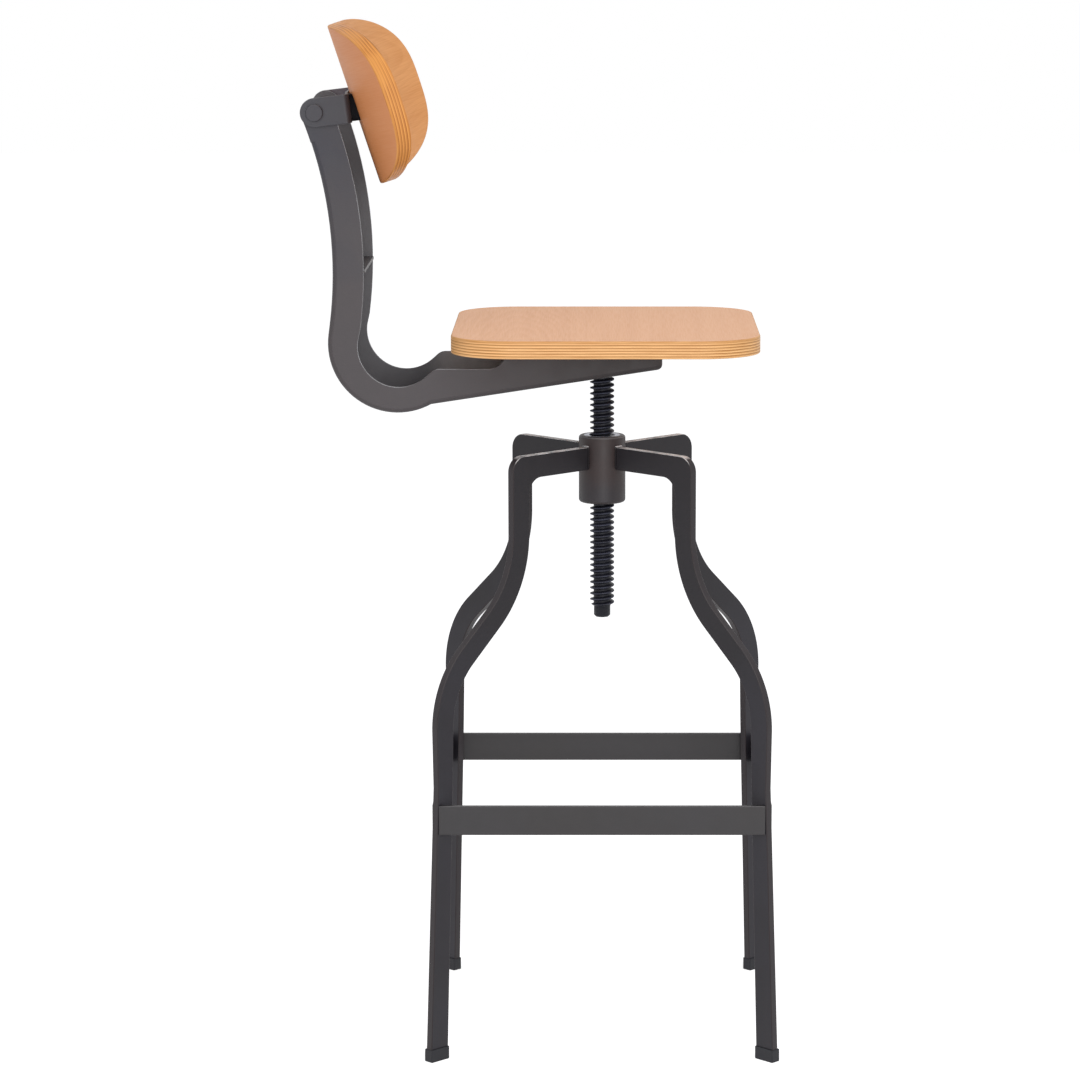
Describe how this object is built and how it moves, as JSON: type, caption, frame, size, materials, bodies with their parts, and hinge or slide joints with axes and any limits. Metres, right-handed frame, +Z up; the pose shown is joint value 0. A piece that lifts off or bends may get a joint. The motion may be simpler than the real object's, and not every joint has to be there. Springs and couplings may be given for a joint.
{
  "type": "bar stool",
  "caption": "Bar-height screw stool with splayed plate legs, footrest bars, a plywood seat and a tilting plywood backrest on a channel arm.",
  "frame": {"origin": "on the floor under the axis of the lead screw", "axes": "+Z up along the lead screw, +X the way the sitter faces, +Y to the sitter's left"},
  "size_m": [0.4827, 0.38, 1.0455],
  "materials": {
    "painted_steel": "dark gunmetal patina, satin",
    "screw_steel": "dark oiled steel",
    "nut_bronze": "dull turned bronze",
    "plywood": "clear satin lacquer on veneer, plies open on the edge",
    "foot_plastic": "black moulded plastic"
  },
  "bodies": {
    "base": {"hub_tube": "painted_steel", "spindle_nut": "nut_bronze", "leg_front_left": "painted_steel", "leg_rear_left": "painted_steel", "leg_rear_right": "painted_steel", "leg_front_right": "painted_steel", "foot_cap_front_left": "foot_plastic", "foot_cap_rear_left": "foot_plastic", "foot_cap_rear_right": "foot_plastic", "foot_cap_front_right": "foot_plastic", "footrest_front": "painted_steel", "footrest_left": "painted_steel", "footrest_rear": "painted_steel", "footrest_right": "painted_steel"},
    "lift": {"lift_screw": "screw_steel"},
    "seat": {"seat_plate": "painted_steel", "seat_screws": "screw_steel", "seat_panel": "plywood", "back_arm": "painted_steel", "arm_cross_plate": "painted_steel", "pivot_washer_left": "nut_bronze", "pivot_washer_right": "nut_bronze"},
    "backrest": {"back_bracket": "painted_steel", "pivot_rivet_left": "painted_steel", "pivot_rivet_right": "painted_steel", "back_pads": "foot_plastic", "back_screws": "screw_steel", "backrest_panel": "plywood"}
  },
  "joints": [
    {"name": "seat_lift", "type": "slide", "parent": "base", "child": "lift", "axis": [0, 0, 1], "range_m": [-0.054, 0.096]},
    {"name": "seat_turn", "type": "hinge", "parent": "lift", "child": "seat", "pos_m": [0, 0, 0.7], "axis": [0, 0, 1], "range_deg": [-3240, 5760]},
    {"name": "backrest_tilt", "type": "hinge", "parent": "seat", "child": "backrest", "pos_m": [-0.2878, 0, 0.9564], "axis": [0, 1, 0], "range_deg": [-12, 12]}
  ],
  "couplings": [
    {"joint": "seat_lift", "follows": "seat_turn", "m_per_rad": 0.00095492}
  ]
}
